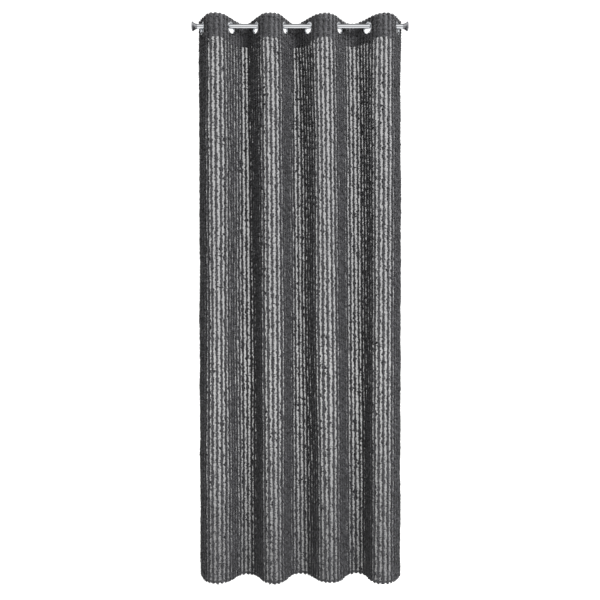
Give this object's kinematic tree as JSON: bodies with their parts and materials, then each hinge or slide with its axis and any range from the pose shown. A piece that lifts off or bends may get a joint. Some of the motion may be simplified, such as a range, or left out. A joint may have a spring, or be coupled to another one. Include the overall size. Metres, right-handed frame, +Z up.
{
  "type": "curtain panel",
  "caption": "Curtain panel of sheer fringed fabric that hangs by eyelets on a metal rod with flared finials and gathers along it.",
  "frame": {"origin": "middle of the rod's axis", "axes": "+X along the rod to the right as seen from the room, +Y towards the wall, so the face of the cloth looks along -Y, and +Z up"},
  "size_m": [0.9708, 0.1294, 2.5],
  "materials": {
    "panel_cloth": "sheer voile with rows of loose fringe yarn",
    "header_tape": "stiff non-woven tape",
    "eyelet": "polished",
    "rod": "polished",
    "finial": "satin, turned",
    "finial_plug": "moulded"
  },
  "bodies": {
    "rod": {"rod_tube": "rod", "finial_plug_left": "finial_plug", "finial_plug_right": "finial_plug"},
    "finial_left": {"finial_left": "finial"},
    "finial_right": {"finial_right": "finial"},
    "flank_1": {"eyelet_header_1": "panel_cloth", "eyelet_drop_1": "panel_cloth", "crest_1_left": "panel_cloth", "header_tape_1": "header_tape", "eyelet_front_1": "eyelet", "eyelet_back_1": "eyelet"},
    "flank_2": {"crest_1_right": "panel_cloth", "eyelet_header_2": "panel_cloth", "eyelet_drop_2": "panel_cloth", "valley_1_left": "panel_cloth", "header_tape_2": "header_tape", "eyelet_front_2": "eyelet", "eyelet_back_2": "eyelet"},
    "flank_3": {"valley_1_right": "panel_cloth", "eyelet_header_3": "panel_cloth", "eyelet_drop_3": "panel_cloth", "crest_2_left": "panel_cloth", "header_tape_3": "header_tape", "eyelet_front_3": "eyelet", "eyelet_back_3": "eyelet"},
    "flank_4": {"crest_2_right": "panel_cloth", "eyelet_header_4": "panel_cloth", "eyelet_drop_4": "panel_cloth", "valley_2_left": "panel_cloth", "header_tape_4": "header_tape", "eyelet_front_4": "eyelet", "eyelet_back_4": "eyelet"},
    "flank_5": {"valley_2_right": "panel_cloth", "eyelet_header_5": "panel_cloth", "eyelet_drop_5": "panel_cloth", "crest_3_left": "panel_cloth", "header_tape_5": "header_tape", "eyelet_front_5": "eyelet", "eyelet_back_5": "eyelet"},
    "flank_6": {"crest_3_right": "panel_cloth", "eyelet_header_6": "panel_cloth", "eyelet_drop_6": "panel_cloth", "valley_3_left": "panel_cloth", "header_tape_6": "header_tape", "eyelet_front_6": "eyelet", "eyelet_back_6": "eyelet"},
    "flank_7": {"valley_3_right": "panel_cloth", "eyelet_header_7": "panel_cloth", "eyelet_drop_7": "panel_cloth", "crest_4_left": "panel_cloth", "header_tape_7": "header_tape", "eyelet_front_7": "eyelet", "eyelet_back_7": "eyelet"},
    "flank_8": {"crest_4_right": "panel_cloth", "eyelet_header_8": "panel_cloth", "eyelet_drop_8": "panel_cloth", "header_tape_8": "header_tape", "eyelet_front_8": "eyelet", "eyelet_back_8": "eyelet"}
  },
  "joints": [
    {"name": "finial_left_pull", "type": "slide", "parent": "rod", "child": "finial_left", "axis": [-1, 0, 0], "range_m": [0, 0.08]},
    {"name": "finial_right_pull", "type": "slide", "parent": "rod", "child": "finial_right", "axis": [1, 0, 0], "range_m": [0, 0.08]},
    {"name": "fold_1", "type": "hinge", "parent": "rod", "child": "flank_1", "pos_m": [-0.43309, 0, 0], "axis": [0, 0, -1], "range_deg": [0, 28]},
    {"name": "fold_2", "type": "hinge", "parent": "flank_1", "child": "flank_2", "pos_m": [-0.37106, -0.05617, 0], "axis": [0, 0, 1], "range_deg": [0, 56]},
    {"name": "fold_3", "type": "hinge", "parent": "flank_2", "child": "flank_3", "pos_m": [-0.25202, 0.06327, 0], "axis": [0, 0, -1], "range_deg": [0, 56]},
    {"name": "fold_4", "type": "hinge", "parent": "flank_3", "child": "flank_4", "pos_m": [-0.13202, -0.055, 0], "axis": [0, 0, 1], "range_deg": [0, 56]},
    {"name": "fold_5", "type": "hinge", "parent": "flank_4", "child": "flank_5", "pos_m": [-0.0146, 0.06513, 0], "axis": [0, 0, -1], "range_deg": [0, 56]},
    {"name": "fold_6", "type": "hinge", "parent": "flank_5", "child": "flank_6", "pos_m": [0.10705, -0.05111, 0], "axis": [0, 0, 1], "range_deg": [0, 56]},
    {"name": "fold_7", "type": "hinge", "parent": "flank_6", "child": "flank_7", "pos_m": [0.23873, 0.05493, 0], "axis": [0, 0, -1], "range_deg": [0, 56]},
    {"name": "fold_8", "type": "hinge", "parent": "flank_7", "child": "flank_8", "pos_m": [0.36814, -0.05347, 0], "axis": [0, 0, 1], "range_deg": [0, 56]}
  ],
  "couplings": [
    {"joint": "fold_2", "follows": "fold_1", "ratio": 2},
    {"joint": "fold_3", "follows": "fold_1", "ratio": 2},
    {"joint": "fold_4", "follows": "fold_1", "ratio": 2},
    {"joint": "fold_5", "follows": "fold_1", "ratio": 2},
    {"joint": "fold_6", "follows": "fold_1", "ratio": 2},
    {"joint": "fold_7", "follows": "fold_1", "ratio": 2},
    {"joint": "fold_8", "follows": "fold_1", "ratio": 2}
  ]
}
